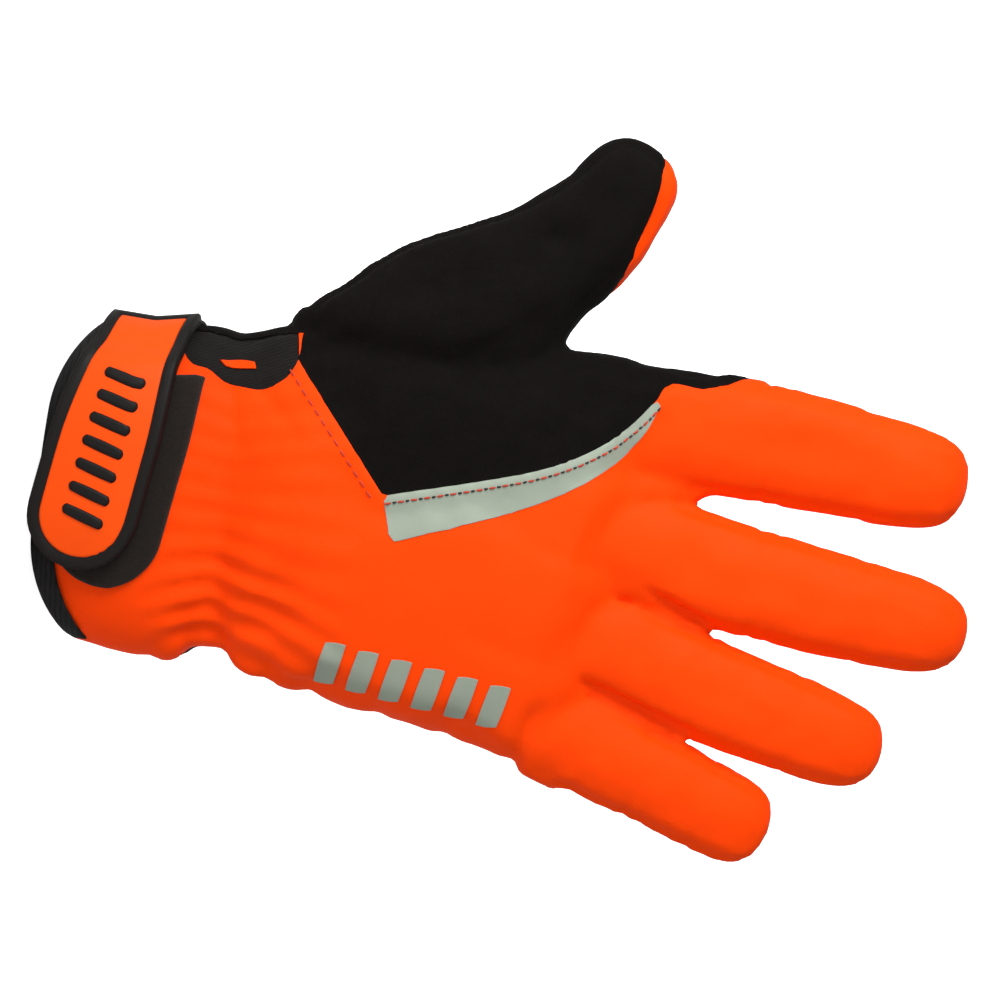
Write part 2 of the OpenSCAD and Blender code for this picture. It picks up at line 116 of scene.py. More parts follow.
def lerp(a, b, t):
    return a + (b - a) * t


def smooth(t):
    t = np.clip(t, 0, 1)
    return t * t * (3 - 2 * t)


def hill(d, width):
    """A bell of height 1 at d = 0."""
    return np.exp(-(d / width) ** 2)


def spow(v, p):
    return np.sign(v) * np.abs(v) ** p


def rim(x):
    """How far the cuff's edge rises at a distance from the middle."""
    return RIM_RISE * (np.maximum(0, np.abs(x) - 16) / (CUFF_W / 2 - 16)) ** 2


def curve(points, n):
    """n + 1 points of a Catmull-Rom curve through the given ones."""
    p = np.array(points, float)
    p = np.vstack([2 * p[0] - p[1], p, 2 * p[-1] - p[-2]])
    out = []
    for u in np.linspace(0, len(points) - 1, n + 1):
        i = min(int(u), len(points) - 2)
        t = u - i
        a, b, c, d = p[i:i + 4]
        out.append(0.5 * (2 * b + (c - a) * t + (2 * a - 5 * b + 4 * c - d) * t * t
                          + (3 * b - a - 3 * c + d) * t ** 3))
    return np.array(out)


def run_along(path):
    """How far each point of a path lies from its start."""
    steps = np.linalg.norm(np.diff(np.array(path, float), axis=0), axis=1)
    return np.concatenate([[0], np.cumsum(steps)])


def joint_point(name):
    return np.array(JOINTS[name]["pos_m"]) / MM


def joint_dir(name):
    """Across the joint, from its parent to its child: the palm's normal turned by its axis."""
    return np.cross(np.array([0, 1, 0]), np.array(JOINTS[name]["axis"]))


# ---- the hand's, fingers' and thumb's tubes
# A section is x, z of its radial edge, x, z of its ulnar edge, and half its depth.

HAND = [
    (-43, -14, 42, -14, 24.5), (-43, 0, 43, 0, 24), (-42.5, 22, 46.5, 22, 23.5),
    (-45.5, 36, 47, 36, 21.5), (-44.5, WAIST_Z, 43.5, WAIST_Z, 18), (-47, 60, 49, 60, 18.5),
    (-49.5, 85, 54, 83, 18), (-51.5, 112, 57, 104, 16.5), (-53, 147, 61.5, 128, 14),
    (-52, 152, 65.5, 136, 12.2), (-51.4, 157.5, 68, 144, 8.6), (-50.6, 161.2, 67.6, 149, 4.6),
    (-50, 163.5, 67, 151.5, 1.5)]
THUMB = [
    (-36, 62, -40, 126, 9), (-42, 60, -46, 130, 11.5), (-49, 59.5, -53, 132, 14.3),
    (-55.5, 63.5, -58, 134, 15), (-61.5, 69.5, -63.5, 137, 14.5), (-73, 82, -66.3, 139.8, 13.5),
    (-82, 100, -69.7, 142.8, 12.5), (-90, 115, -73.7, 145.7, 12), (-98.6, 126, -78.4, 148.8, 11.5)]
THUMB_TIP = (-109.8, 149.8)
# name: base centre, tip, base width, tip width, half depth
FINGERS = {
    "index": ((-35.5, 158.3), (-29.5, 247.3), 32, 27.5, 9.8),
    "middle": ((-1.6, 154.6), (11.4, 252.6), 31, 25.5, 9.8),
    "ring": ((26, 151.6), (47, 233.6), 29, 24.5, 9.3),
    "little": ((53, 148.7), (72.5, 205.6), 27, 23.5, 8.8)}
# the fold of fabric in the crotch between index and middle finger
WEB = [(-25, 148, -8, 148, 9), (-22.5, 162, -12.5, 162, 7), (-20.5, 171, -15.5, 171, 5),
       (-19, 176, -17, 176, 2.5)]
# how a fingertip narrows: place, scale
TIP_SHAPE = [(0, 1), (0.3, 1), (0.6, 0.97), (0.8, 0.86), (0.92, 0.64), (0.975, 0.4), (1, 0.12)]


def ring_points(sec, n, exponent):
    """n points round a section, from its ulnar edge towards the palm."""
    x0, z0, x1, z1, depth = sec
    mid = np.array([(x0 + x1) / 2, 0, (z0 + z1) / 2])
    half = np.array([(x1 - x0) / 2, 0, (z1 - z0) / 2])
    v = np.linspace(0, 2 * math.pi, n, endpoint=False)
    c, s = spow(np.cos(v), 2 / exponent), spow(np.sin(v), 2 / exponent)
    return mid + np.outer(c, half) + np.outer(s, [0, depth, 0])


def ring_faces(rings, n, closed=False):
    """Faces between rings of n points; the end rings are capped, or joined when closed."""
    faces = []
    for i in range(rings if closed else rings - 1):
        low, high = i * n, (i + 1) % rings * n
        for j in range(n):
            k = (j + 1) % n
            faces.append((low + j, low + k, high + k, high + j))
    if not closed:
        faces += [tuple(range(n - 1, -1, -1)), tuple((rings - 1) * n + j for j in range(n))]
    return faces


def tube(sections, exponent, n=72):
    """A closed loft over sections."""
    verts = [p for s in sections for p in ring_points(s, n, exponent)]
    return verts, ring_faces(len(sections), n)


def tapered(base, tip, w0, w1, depth0, depth1, shape):
    """Sections of a finger from base to tip, narrowed by shape's (place, scale) pairs."""
    base, tip = np.array(base), np.array(tip)
    d = (tip - base) / np.linalg.norm(tip - base)
    side = np.array([d[1], -d[0]])
    out = []
    for t, scale in shape:
        c = lerp(base, tip, t)
        half = side * lerp(w0, w1, t) / 2 * scale
        out.append((*(c - half), *(c + half), lerp(depth0, depth1, t) * scale))
    return out


def finger_sections(name):
    base, tip, w0, w1, depth = FINGERS[name]
    length = np.linalg.norm(np.array(tip) - base)
    root = -13 / length
    shape = [(root, 0.9), (0, 1), (0.35, 1)]
    shape += [(lerp(0.62, 1, t), s) for t, s in TIP_SHAPE]
    return curve(tapered(base, tip, w0, w1, depth, depth - 1.2, shape), 44)


def thumb_sections():
    last = np.array(THUMB[-1])
    centre = (last[0:2] + last[2:4]) / 2
    width = np.linalg.norm(last[2:4] - last[0:2])
    end = tapered(centre, THUMB_TIP, width, width - 6, last[4], last[4] - 1.5, TIP_SHAPE)
    return curve(THUMB + end[1:], 60)


def setup(thing, **settings):
    for key, value in settings.items():
        setattr(thing, key, value)
    return thing


def add_object(name, data):
    obj = bpy.data.objects.new(name, data)
    bpy.context.scene.collection.objects.link(obj)
    return obj


def make_object(name, verts, faces):
    mesh = bpy.data.meshes.new(name)
    mesh.from_pydata([Vector(v) * MM for v in verts], [], [tuple(int(i) for i in f) for f in faces])
    mesh.validate()
    mesh.update()
    return add_object(name, mesh)


def joined(parts):
    """The points and faces of several (verts, faces) as one pair."""
    verts, faces = [], []
    for v, f in parts:
        faces += [tuple(i + len(verts) for i in face) for face in f]
        verts += list(v)
    return verts, faces


def weld(obj, distance, outwards=False):
    """Joins points that lie together, and drops points that no face uses."""
    bm = bmesh.new()
    bm.from_mesh(obj.data)
    bmesh.ops.delete(bm, geom=[v for v in bm.verts if not v.link_faces], context="VERTS")
    bmesh.ops.remove_doubles(bm, verts=bm.verts, dist=distance * MM)
    if outwards:
        bmesh.ops.recalc_face_normals(bm, faces=bm.faces)
    bm.to_mesh(obj.data)
    bm.free()


def shade_smooth(mesh):
    for poly in mesh.polygons:
        poly.use_smooth = True


def freeze(obj):
    """Applies an object's modifiers."""
    deps = bpy.context.evaluated_depsgraph_get()
    deps.update()
    mesh = bpy.data.meshes.new_from_object(obj.evaluated_get(deps))
    obj.modifiers.clear()
    old, obj.data = obj.data, mesh
    bpy.data.meshes.remove(old)
    return obj


def read_points(mesh, what):
    values = np.empty(len(mesh.vertices) * 3, np.float32)
    mesh.vertices.foreach_get(what, values)
    return values.reshape(-1, 3).astype(float)


def points_of(mesh):
    return read_points(mesh, "co") / MM


def set_points(mesh, p):
    mesh.vertices.foreach_set("co", (p * MM).astype(np.float32).ravel())
    mesh.update()


def add_modifier(obj, kind, **settings):
    return setup(obj.modifiers.new(kind.lower(), kind), **settings)


# ---- one soft body: the union of the tubes, remeshed

def build_skin():
    tubes = [tube(curve(HAND, 80), 2.45, 120), tube(thumb_sections(), 2.4)]
    tubes += [tube(finger_sections(f), 2.3) for f in FINGERS] + [tube(curve(WEB, 20), 2.3)]
    skin = make_object("skin", *joined(tubes))
    add_modifier(skin, "REMESH", mode="VOXEL", voxel_size=VOXEL * MM)
    add_modifier(skin, "SMOOTH", factor=0.5, iterations=5)
    return freeze(skin)


# ---- fields over the skin: signed distances that seams, cuts and folds are made from
# Each is positive inside its region. Outlines are x, z, seen from the back of the hand.

# the saddle's low corner at the vent, its corner on the back, and its edge towards the index finger
SADDLE_LOW = (-38, 62.2)
SADDLE_CORNER = (-5.6, 89.8)
SADDLE_EDGE = [SADDLE_CORNER, (-13, 115), (-18.5, 131), (-25, 143), (-33, 152.3), (-41, 158.5),
               (-47, 163.5), (-52, 187), (-58, 192)]
# the other side of the reflective crescent
TRIM_LOW = [(6.4, 93.4), (-1.8, 114), (-10.6, 133), (-20.2, 147), (-31, 156), (-41, 160.3)]
# the webbing at the wrist's vent, and the orange sliver that shows through it
VENT = [(-36.5, 31.5), (-33.8, 34.1), (-32.6, 39.2), (-30.1, 43.6), (-29.3, 48.4), (-29.3, 53.3),
        (-31, 57.1), (-33.7, 60.2), SADDLE_LOW]
SLIVER = [(-35.4, 39), (-36.4, 44), (-36.6, 49), (-35.6, 53.5), (-34.7, 49), (-34.6, 44), (-35.4, 39)]


def saddle_outline():
    return [SADDLE_LOW] + list(curve(SADDLE_EDGE, 40)) + [(-140, 192), (-140, 60)]


def vent_outline():
    return [(-62, 30)] + list(curve(VENT, 40)) + [(-50, 60), (-62, 66)]


def trim_outline():
    return list(curve(SADDLE_EDGE[:6], 30)) + list(curve(TRIM_LOW, 30))[::-1]


def outline_field(x, z, outline):
    """Signed distance to a closed outline, positive inside."""
    poly = np.array([tuple(p[:2]) for p in outline], float)
    best = np.full(x.shape, 1e9)
    inside = np.zeros(x.shape, bool)
    for (ax, az), (bx, bz) in zip(poly, np.roll(poly, -1, axis=0)):
        ex, ez = bx - ax, bz - az
        t = np.clip(((x - ax) * ex + (z - az) * ez) / max(ex * ex + ez * ez, 1e-9), 0, 1)
        best = np.minimum(best, np.hypot(x - ax - t * ex, z - az - t * ez))
        crosses = (az > z) != (bz > z)
        with np.errstate(divide="ignore", invalid="ignore"):
            inside ^= crosses & (x < (z - az) * ex / (ez if ez else 1e-9) + ax)
    return np.where(inside, best, -best)


class Finger:
    """A finger's own coordinates and where its pieces part."""

    def __init__(self, name):
        self.name = name
        self.mid = joint_point(name + "_bend")
        self.end = joint_point(name + "_tip_bend")
        self.dir = (self.end - self.mid) / np.linalg.norm(self.end - self.mid)
        self.side = np.array([self.dir[2], 0, -self.dir[0]])
        base, tip, w0, w1, self.depth = FINGERS[name]
        self.base = np.array([base[0], 0, base[1]])
        self.length = math.dist(base, tip)
        self.widths = (w0 / 2, w1 / 2)
        self.s_mid = (self.mid - self.base) @ self.dir
        self.s_end = (self.end - self.base) @ self.dir
        self.s_low = self.s_mid - min(14, 0.64 * self.s_mid)
        self.s_high = (self.s_mid + self.s_end) / 2

    def along(self, p):
        return (p - self.base) @ self.dir

    def across(self, p):
        return (p - self.base) @ self.side

    def half(self, s):
        return lerp(*self.widths, np.clip(s / self.length, 0, 1))

    def at(self, s):
        return self.base + self.dir * s


GLOVE_FINGERS = [Finger(f) for f in FINGERS]
# where the thumb's tip pieces start
THUMB_SPLIT = joint_point("thumb_tip_bend") - TIP_HALF * joint_dir("thumb_tip_bend")


def palm_edge(p):
    """The y at which the palm's suede starts round a side."""
    x, z = p[:, 0], p[:, 2]
    ulnar = lerp(8.5, 5.0, smooth((z - 125) / 35))
    radial = lerp(-7.5, 5.0, smooth((z - 170) / 28))
    return lerp(ulnar, radial, smooth((-36 - x) / 8))


def thumb_strip(p):
    """The orange strip on the thumb's side that faces the index finger."""
    inner = curve([(-62, 141.5), (-72, 144.8), (-82, 148.2), (-92, 150.9), (-103, 152.4), (-112, 152)], 24)
    outline = list(inner) + [(-112, 170), (-50, 170)]
    drop = 0.75 * np.maximum(0, p[:, 1] + 1)
    return outline_field(p[:, 0] + 0.3 * drop, p[:, 2] + 0.7 * drop, outline)


def compute_fields(p):
    x, y, z = p.T
    fields = {}
    fields["palm"] = y - palm_edge(p)
    back = y < 2
    fields["saddle"] = np.where(back, outline_field(x, z, saddle_outline()), 5.0)
    vent = np.minimum(outline_field(x, z, vent_outline()), -outline_field(x, z, curve(SLIVER, 30)))
    fields["vent"] = np.where(back, vent, 5.0)
    fields["trim"] = np.where(back, outline_field(x, z, trim_outline()), -5.0)
    web = 0.8 * (-51 - x) + 0.6 * (128 - z)
    fields["thumb"] = np.minimum(THUMB_X - x, np.where(z > 50, web, -5))
    fields["strip"] = np.where(x < -60, thumb_strip(p), -5.0)
    tip_dir = joint_dir("thumb_tip_bend")
    fields["thumb_tip"] = (p - THUMB_SPLIT) @ tip_dir
    fields["thumb_side"] = y + 0.5
    fields["rim"] = z - rim(x) - 1.2
    for f in GLOVE_FINGERS:
        s = f.along(p)
        near = (np.abs(f.across(p)) < f.half(s) + 2.5) & (z > 140)
        fields[f.name + "_low"] = np.where(near, s - f.s_low, -50)
        fields[f.name + "_high"] = np.where(near, s - f.s_high, -50)
    return fields


# ---- cloth: the panels swell between their seams

def finger_seams(p):
    """Distance to the seams along both sides of each finger, and big elsewhere."""
    best = np.full(len(p), 99.0)
    for f in GLOVE_FINGERS:
        s, a = f.along(p), f.across(p)
        near = (s > 2) & (s < f.length - 3) & (np.abs(a) < f.half(s) + 2) & (p[:, 2] > 140)
        edge = -0.5 * f.depth * (1 - 0.3 * smooth((s - f.length + 12) / 12))
        near &= np.abs(a) > 0.5 * f.half(s)
        best = np.where(near, np.minimum(best, np.abs(p[:, 1] - edge)), best)
    return best


def evened(mesh, moved, rounds=8):
    """Evens out what each point moved with what its neighbours moved."""
    ends = np.array([e.vertices[:] for e in mesh.edges])
    count = np.bincount(ends.ravel(), minlength=len(moved))[:, None]
    for _ in range(rounds):
        total = np.zeros_like(moved)
        np.add.at(total, ends[:, 0], moved[ends[:, 1]])
        np.add.at(total, ends[:, 1], moved[ends[:, 0]])
        moved = (moved + total / count) / 2
    return moved


def swell(obj, p, fields):
    """Blows the panels up between pinned seams; a point moves at most CLOTH_CAP."""
    seam = np.minimum(np.abs(fields["palm"]), finger_seams(p))
    seam = np.minimum(seam, np.abs(fields["saddle"]))
    loose = smooth((seam - 0.8) / 3) * smooth((p[:, 2] - 30) / 14)
    loose *= smooth(np.abs(p[:, 2] - WAIST_Z) / 5)
    group = obj.vertex_groups.new(name="pinned")
    for i, w in enumerate(1 - loose):
        if w > 0.01:
            group.add([i], float(w), "REPLACE")
    mod = obj.modifiers.new("cloth", "CLOTH")
    setup(mod.settings, vertex_group_mass="pinned", use_pressure=True,
          uniform_pressure_force=CLOTH_PRESSURE, shrink_min=CLOTH_SLACK, mass=0.15,
          tension_stiffness=12, compression_stiffness=12, shear_stiffness=6, bending_stiffness=0.3)
    mod.settings.effector_weights.gravity = 0
    mod.collision_settings.use_collision = False
    scene = bpy.context.scene
    scene.frame_start, scene.frame_end = 1, CLOTH_FRAMES
    for n in range(1, CLOTH_FRAMES + 1):
        scene.frame_set(n)
    freeze(obj)
    scene.frame_set(1)
    moved = points_of(obj.data) - p
    length = np.linalg.norm(moved, axis=1, keepdims=True)
    moved *= np.minimum(1, CLOTH_CAP / np.maximum(length, 1e-9))
    return p + evened(obj.data, moved * loose[:, None])


# ---- folds, gathers and seams pressed into the fabric

# height at the ulnar edge, reach across the back, rise, depth
ULNAR_CREASES = [
    (29, 22, 4, 0.8), (41, 30, 3, 1.4), (53, 38, -3, 1.2), (57, 26, 12, 1.0), (73, 18, 4, 1.0),
    (92, 14, 5, 0.9), (112, 15, 4, 0.8), (131, 20, 8, 1.9), (150, 10, 5, 0.7)]
# fingers that are fuller on one side: side, height, place along the finger, reach
FULLNESS = {"index": (-1, 2.4, 38, 24), "middle": (1, 1.3, 45, 32), "ring": (1, 1.2, 38, 28)}
# from, to, depth, width
DRAG_LINES = [
    ((-32, 44), (-8, 52), 0.5, 1.8), ((-33, 50), (-14, 68), 0.5, 2.0), ((-34, 37), (-10, 41), 0.4, 1.6),
    ((-62, 128), (-44, 104), 0.8, 2.4), ((-60, 120), (-52, 92), 0.6, 2.4),
    ((-90, 118), (-74, 131), 0.8, 2.2), ((-84, 126), (-68, 118), 0.6, 2.2),
    ((9, 161), (20.5, 190), 2.6, 1.5), ((35.5, 145), (48.5, 186), 2.6, 1.5),
    ((0, 118), (9, 168), 0.5, 3.0), ((26, 108), (36, 150), 0.5, 3.0)]


def crease(a, b, p, width):
    """A bell across the line from a to b (x, z), fading at both ends."""
    a, b = np.array(a, float), np.array(b, float)
    d = b - a
    length = np.linalg.norm(d)
    d /= length
    rel = p[:, [0, 2]] - a
    t, off = rel @ d, rel @ np.array([d[1], -d[0]])
    ends = smooth(t / (0.3 * length)) * smooth((length - t) / (0.3 * length))
    return hill(off, width) * ends


def noise_field(p, scale, seed):
    shift = Vector((seed * 7.3, seed * 3.1, seed * 5.7))
    return np.array([noise.noise(Vector(q) / scale + shift) for q in p])


def folds(p):
    """How far each point stands in (negative) or out along its normal."""
    x, y, z = p.T
    back = smooth(-y / 4)
    out = np.zeros(len(p))
    # gathers of the wrist's elastic, deeper towards the little finger
    strength = lerp(0.35, 1.0, smooth((x + 5) / 35)) * (1 - smooth((z - 66) / 26))
    strength *= smooth((z - 26) / 14)
    wobble = 1.8 * noise_field(p, 22, 1)
    spread = 1 + 0.012 * np.abs(z - WAIST_Z)
    out += 0.7 * strength * np.sin(2 * math.pi * (x / spread + wobble) / GATHER_PITCH)
    out += 0.7 * strength * noise_field(p * [1.4, 1, 0.45], 6, 2)
    out -= 1.1 * hill(z - WAIST_Z - 0.06 * x, 3.2) * lerp(0.5, 1, smooth(x / 30))
    # creases that run in from the ulnar edge, between the bulges
    for low, reach, drop, depth in ULNAR_CREASES:
        tip = (60 - reach, low + drop)
        out -= depth * crease((CREASE_FROM, low), tip, p, CREASE_WIDTH)
    # drag lines from the vent and across the thumb's root
    for a, b, depth, width in DRAG_LINES:
        out -= depth * back * crease(a, b, p, width)
    out += 0.35 * noise_field(p, 15, 3) + 0.12 * noise_field(p, 5, 4)
    # finger creases at the joints
    for f in GLOVE_FINGERS:
        s, a = f.along(p), f.across(p)
        near = (np.abs(a) < f.half(s) + 2) & (z > 140)
        sides = smooth((np.abs(a) / f.half(s) - 0.35) / 0.5)
        for place, depth in ((f.s_mid, 0.55), (f.s_mid + 5, 0.4), (f.s_end, 0.35)):
            tilt = place + 0.12 * a
            out -= np.where(near, depth * sides * hill(s - tilt, 1.6), 0)
        if f.name in FULLNESS:
            side, height, place, reach = FULLNESS[f.name]
            fuller = height * smooth(side * a / f.half(s) / 0.8) * hill(s - place, reach)
            out += np.where(near, fuller, 0)
    # the heel of the thumb, above the vent
    out += 2.2 * hill(z - 57, 7) * smooth((-34 - x) / 10)
    return out


def seams(p, fields):
    """Seam lines: a narrow dip with the fabric swelling on both sides."""
    out = np.zeros(len(p))
    for d, deep, lift in ((np.abs(fields["palm"]), 0.6, 0.25), (finger_seams(p), 0.55, 0.25)):
        out += lift * hill(d - 2.2, 1.2) - deep * hill(d, 0.8)
    d = fields["saddle"]
    hem = smooth((d + 4.2) / 0.8) * (d < 0)
    out += 0.55 * hem - 0.25 * hill(d + 3.0, 0.5) * (d < 0)
    out -= 0.25 * hill(d - 0.8, 0.9) * (d > 0)
    side = fields["thumb_side"]
    on_thumb = (p[:, 0] < -52) & (fields["strip"] < 0)
    out -= np.where(on_thumb, 0.5 * hill(side, 0.8), 0)
    out -= np.where(p[:, 0] < -58, 0.4 * hill(fields["strip"], 0.7), 0)
    return out


# ---- cutting the skin into panels

def cut(bm, layer):
    """Splits every face where a field changes sign, so that panels part exactly on the seam."""
    for v in bm.verts:
        if abs(v[layer]) < SNAP:
            v[layer] = 0.0
    crossing = [e for e in bm.edges if e.verts[0][layer] * e.verts[1][layer] < 0
                and max(abs(v[layer]) for v in e.verts) < FAR]
    for e in crossing:
        a, b = e.verts
        fac = a[layer] / (a[layer] - b[layer])
        _, v = bmesh.utils.edge_split(e, a, fac)
        v[layer] = 0.0
    on = [v for v in bm.verts if v[layer] == 0.0]
    bmesh.ops.connect_verts(bm, verts=on)


CUTS = ["rim", "palm", "saddle", "vent", "trim", "strip", "thumb", "thumb_tip", "thumb_side"]
CUTS += [f.name + part for f in GLOVE_FINGERS for part in ("_low", "_high")]


def panel_of(value):
    """(panel's name, body region) of a face, from its fields."""
    if value["thumb"] > 0:
        region = "thumb_tip" if value["thumb_tip"] > 0 else "thumb"
        if value["strip"] > 0:
            return "strip", region
        return ("palm" if value["thumb_side"] > 0 else "back"), region
    region = "hand"
    for f in GLOVE_FINGERS:
        if value[f.name + "_low"] > 0:
            region = f.name + ("_tip" if value[f.name + "_high"] > 0 else "_root")
    if value["palm"] > 0:
        return "palm", region
    if region == "hand":
        for panel in ("saddle", "vent", "trim"):
            if value[panel] > 0:
                return panel, region
    return "back", region


def split_panels(mesh, fields):
    """{(panel, region): (verts, faces, skin normals)}"""
    bm = bmesh.new()
    bm.from_mesh(mesh)
    layers = {name: bm.verts.layers.float.new(name) for name in CUTS}
    bm.verts.ensure_lookup_table()
    for name, layer in layers.items():
        for v, value in zip(bm.verts, fields[name]):
            v[layer] = value
    for name in CUTS:
        cut(bm, layers[name])
    bm.normal_update()
    panels = {}
    for face in bm.faces:
        value = {n: sum(v[layer] for v in face.verts) for n, layer in layers.items()}
        if value["rim"] < 0:
            continue
        panels.setdefault(panel_of(value), []).append(face)
    out = {}
    for key, faces in panels.items():
        used = {v.index: v for face in faces for v in face.verts}
        order = {index: i for i, index in enumerate(used)}
        loops = [[order[v.index] for v in face.verts] for face in faces]
        out[key] = (np.array([v.co / MM for v in used.values()]), loops,
                    np.array([v.normal for v in used.values()]))
    bm.free()
    return out


# ---- materials

def feed(tree, node, inputs):
    """Sets a node's inputs from values, or links them to other nodes' outputs."""
    for key, value in inputs.items():
        if hasattr(value, "is_output"):
            tree.links.new(value, node.inputs[key])
        else:
            node.inputs[key].default_value = value
    return node


class Shader:
    """A principled material whose patterns follow the fabric's rest position, in millimetres."""

    def __init__(self, name, colour, rough, **inputs):
        self.mat = bpy.data.materials.new(name)
        self.mat.use_nodes = True
        self.tree = self.mat.node_tree
        self.bsdf = self.tree.nodes["Principled BSDF"]
        feed(self.tree, self.bsdf, {"Base Color": (*colour, 1), "Roughness": rough})
        feed(self.tree, self.bsdf, {key.replace("_", " "): v for key, v in inputs.items()})
        self.colour = colour
        self.rest = self.node("Attribute", {}, attribute_name="rest").outputs["Vector"]
        self.normal = None

    def node(self, kind, inputs, **settings):
        node = setup(self.tree.nodes.new("ShaderNode" + kind), **settings)
        return feed(self.tree, node, inputs)

    def math(self, op, a, b=0.0):
        return self.node("Math", {0: a, 1: b}, operation=op).outputs[0]

    def noise(self, scale, detail=2.0, stretch=(1, 1, 1), rough=0.5):
        """Noise of about the given size in millimetres."""
        place = self.node("Mapping", {"Scale": [k / scale for k in stretch], "Vector": self.rest})
        return self.node("TexNoise", {"Scale": 1.0, "Detail": detail, "Roughness": rough,
                                      "Vector": place.outputs[0]}).outputs["Fac"]

    def waves(self, direction, pitch):
        """A sine from 0 to 1 across the given direction."""
        dot = self.node("VectorMath", {0: self.rest, 1: direction}, operation="DOT_PRODUCT")
        turn = self.math("MULTIPLY", dot.outputs["Value"], 2 * math.pi / pitch)
        return self.math("ADD", self.math("MULTIPLY", self.math("SINE", turn), 0.5), 0.5)

    def tint(self, fac, low, high):
        """Mixes the base colour between two brightnesses."""
        a, b = ((*[c * k for c in self.colour], 1) for k in (low, high))
        mix = self.node("Mix", {"A": a, "B": b, "Factor": fac}, data_type="RGBA")
        feed(self.tree, self.bsdf, {"Base Color": mix.outputs["Result"]})

    def bump(self, height, distance_mm, strength=1.0):
        inputs = {"Strength": strength, "Distance": distance_mm * MM, "Height": height}
        if self.normal:
            inputs["Normal"] = self.normal
        self.normal = self.node("Bump", inputs).outputs["Normal"]
        feed(self.tree, self.bsdf, {"Normal": self.normal})

    def roughness(self, fac, low, high):
        spread = self.node("MapRange", {"To Min": low, "To Max": high, "Value": fac})
        feed(self.tree, self.bsdf, {"Roughness": spread.outputs[0]})


def softshell(name):
    """Bright stretch twill with a fine diagonal rib."""
    s = Shader(name, (1.0, 0.058, 0.0), 0.7, Sheen_Weight=0.05, Sheen_Roughness=0.4,
               Sheen_Tint=(1, 0.2, 0.02, 1), Specular_IOR_Level=0.07)
    rib = s.math("MULTIPLY", s.waves((1, 0.6, 0.75), 0.75), s.waves((-0.8, 0.5, 1), 0.62))
    s.tint(s.noise(38, 3), 0.93, 1.06)
    s.roughness(s.noise(9, 3), 0.52, 0.72)
    s.bump(s.noise(2.2, 3), 0.14, 0.35)
    s.bump(rib, 0.05, 0.55)
    return s.mat


def suede(name, colour, grain=0.55):
    """Brushed synthetic suede with a soft nap."""
    s = Shader(name, colour, 0.92, Sheen_Weight=0.01, Sheen_Roughness=0.5, Specular_IOR_Level=0.06)
    # partly painted shade: the fine grain noise is the same as the fine bump below, so the colour darkens
    # where the grain dips; the larger stretched noise is a random tone of the nap
    nap = s.math("ADD", s.noise(grain, 4, rough=0.7), s.noise(7, 3, (1, 1, 0.5)))
    s.tint(s.math("MULTIPLY", nap, 0.5), 0.55, 1.6)
    s.roughness(s.noise(5, 2), 0.8, 1.0)
    s.bump(s.noise(grain, 4, rough=0.7), 0.12, 0.8)
    s.bump(s.noise(4.5, 3), 0.35, 0.35)
    return s.mat


def film(name):
    """Grey retroreflective film with a fine bead grain."""
    s = Shader(name, (0.29, 0.335, 0.27), 0.55, Metallic=0.12, Specular_IOR_Level=0.3)
    s.tint(s.noise(11, 3), 0.92, 1.06)
    bead = s.node("TexVoronoi", {"Scale": 2.4, "Vector": s.rest})
    s.bump(bead.outputs["Distance"], 0.04, 0.5)
    s.roughness(s.noise(1.6, 2), 0.48, 0.66)
    return s.mat


def ribbed(name, colour, direction, pitch, depth):
    """Woven or ribbed tape."""
    s = Shader(name, colour, 0.8, Sheen_Weight=0.02, Specular_IOR_Level=0.14)
    rib = s.waves(direction, pitch)
    # painted shade: the colour follows the rib's bump height, darker in the hollows between ribs and
    # lighter on their crests, with a random tone from the noise mixed in
    s.tint(s.math("MULTIPLY", s.math("ADD", rib, s.noise(1.2, 3)), 0.5), 0.6, 1.45)
    s.bump(rib, depth, 0.8)
    s.bump(s.noise(0.6, 3), 0.08, 0.6)
    return s.mat


def pile(name, colour, size):
    """Fuzzy loops or brushed fleece."""
    s = Shader(name, colour, 1.0, Sheen_Weight=0.1, Sheen_Roughness=0.6, Specular_IOR_Level=0.1)
    tuft = s.noise(size, 5, rough=0.75)
    # painted shade and painted highlight: the colour follows the tufts' bump height, dark in the hollows
    # between tufts and light on their tips
    s.tint(tuft, 0.35, 2.1)
    s.bump(tuft, 0.5, 1.0)
    return s.mat


def rubber(name, colour, rough):
    """Soft moulded rubber with a fine matt texture."""
    s = Shader(name, colour, rough, Specular_IOR_Level=0.15)
    s.tint(s.noise(14, 2), 0.95, 1.05)
    s.roughness(s.noise(3, 3), rough - 0.06, rough + 0.1)
    s.bump(s.noise(0.45, 2), 0.025, 0.6)
    return s.mat


def thread(name, colour):
    s = Shader(name, colour, 0.55, Sheen_Weight=0.1)
    s.bump(s.waves((1, 0.4, 1), 0.35), 0.05, 0.8)
    s.tint(s.noise(2, 2), 0.8, 1.15)
    return s.mat


